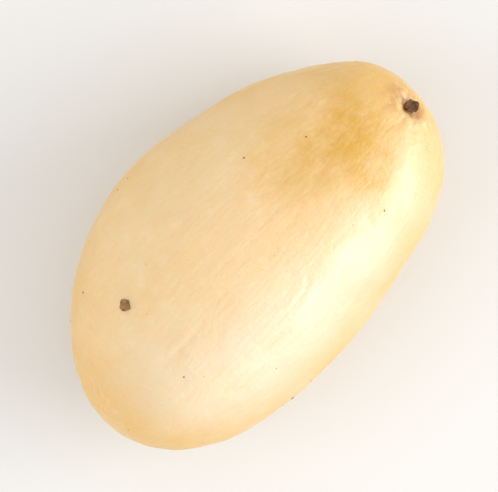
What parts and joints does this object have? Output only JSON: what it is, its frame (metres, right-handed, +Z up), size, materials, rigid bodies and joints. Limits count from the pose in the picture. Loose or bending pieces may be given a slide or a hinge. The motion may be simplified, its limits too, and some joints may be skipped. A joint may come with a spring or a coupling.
{
  "type": "shelled pine nut kernel",
  "caption": "Shelled pine nut kernel: an egg-shaped ivory seed with a soft ridge along its back and a scrap of dark skin at its blunt tip.",
  "frame": {"origin": "on the surface that the kernel rests on, under the middle of its box", "axes": "+X from the broad end to the tip, +Y to the side that bulges further, +Z up through the back ridge"},
  "size_m": [0.0116, 0.0072, 0.0057],
  "materials": {
    "flesh": "waxy satin ivory with an oily sheen, amber towards the tip",
    "dark_skin": "dry, matt and papery"
  },
  "bodies": {
    "root": {"kernel": "flesh", "skin_scrap": "dark_skin"}
  },
  "joints": []
}
